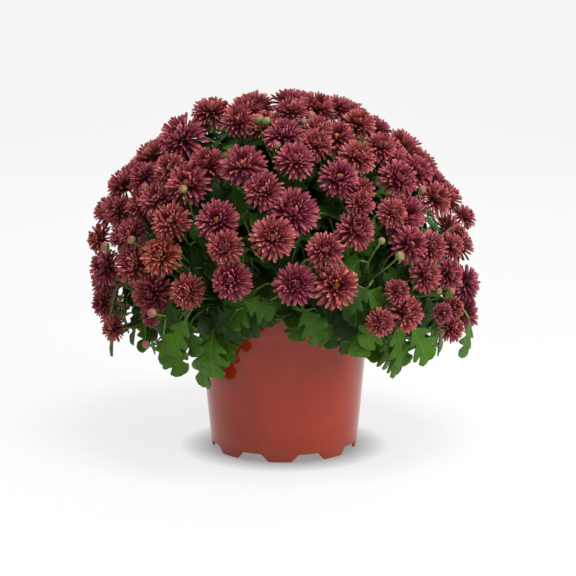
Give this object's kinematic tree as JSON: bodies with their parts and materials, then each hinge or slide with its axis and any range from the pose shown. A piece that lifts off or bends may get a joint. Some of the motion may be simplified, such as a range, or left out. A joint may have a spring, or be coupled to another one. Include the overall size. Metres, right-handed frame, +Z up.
{
  "type": "pot chrysanthemum",
  "caption": "Potted garden mum: a dome of double wine-red blooms on leafy stems, rooted in soil in a round footed plastic nursery pot, to stand on a floor, step or table.",
  "frame": {"origin": "middle of the circle of feet that the pot stands on, at the floor", "axes": "+Z up along the pot's axis; -Y is the side that the picture shows; +X is to the right in it"},
  "size_m": [0.3972, 0.3952, 0.3676],
  "materials": {
    "pot_plastic": "gloss",
    "peat_soil": "matte",
    "leaf_green": "satin",
    "petal_wine_red": "matte"
  },
  "bodies": {
    "root": {"blooms_01": "petal_wine_red", "blooms_02": "petal_wine_red", "blooms_03": "petal_wine_red", "blooms_04": "petal_wine_red", "blooms_05": "petal_wine_red", "blooms_06": "petal_wine_red", "blooms_07": "petal_wine_red", "blooms_08": "petal_wine_red", "blooms_09": "petal_wine_red", "blooms_10": "petal_wine_red", "blooms_11": "petal_wine_red", "blooms_12": "petal_wine_red", "blooms_13": "petal_wine_red", "blooms_14": "petal_wine_red", "blooms_15": "petal_wine_red", "blooms_16": "petal_wine_red", "blooms_17": "petal_wine_red", "blooms_18": "petal_wine_red", "blooms_19": "petal_wine_red", "blooms_20": "petal_wine_red", "blooms_21": "petal_wine_red", "blooms_22": "petal_wine_red", "blooms_23": "petal_wine_red", "blooms_24": "petal_wine_red", "blooms_25": "petal_wine_red", "blooms_26": "petal_wine_red", "blooms_27": "petal_wine_red", "blooms_28": "petal_wine_red", "blooms_29": "petal_wine_red", "blooms_30": "petal_wine_red", "blooms_31": "petal_wine_red", "blooms_32": "petal_wine_red", "blooms_33": "petal_wine_red", "blooms_34": "petal_wine_red", "blooms_35": "petal_wine_red", "blooms_36": "petal_wine_red", "blooms_37": "petal_wine_red", "blooms_38": "petal_wine_red", "blooms_39": "petal_wine_red", "blooms_40": "petal_wine_red", "blooms_41": "petal_wine_red", "blooms_42": "petal_wine_red", "blooms_43": "petal_wine_red", "blooms_44": "petal_wine_red", "leafy_stem_01": "leaf_green", "leafy_stem_02": "leaf_green", "leafy_stem_03": "leaf_green", "leafy_stem_04": "leaf_green", "leafy_stem_05": "leaf_green", "leafy_stem_06": "leaf_green", "leafy_stem_07": "leaf_green", "leafy_stem_08": "leaf_green", "leafy_stem_09": "leaf_green", "leafy_stem_10": "leaf_green", "leafy_stem_11": "leaf_green", "leafy_stem_12": "leaf_green", "leafy_stem_13": "leaf_green", "leafy_stem_14": "leaf_green", "pot": "pot_plastic", "soil": "peat_soil"}
  },
  "joints": []
}
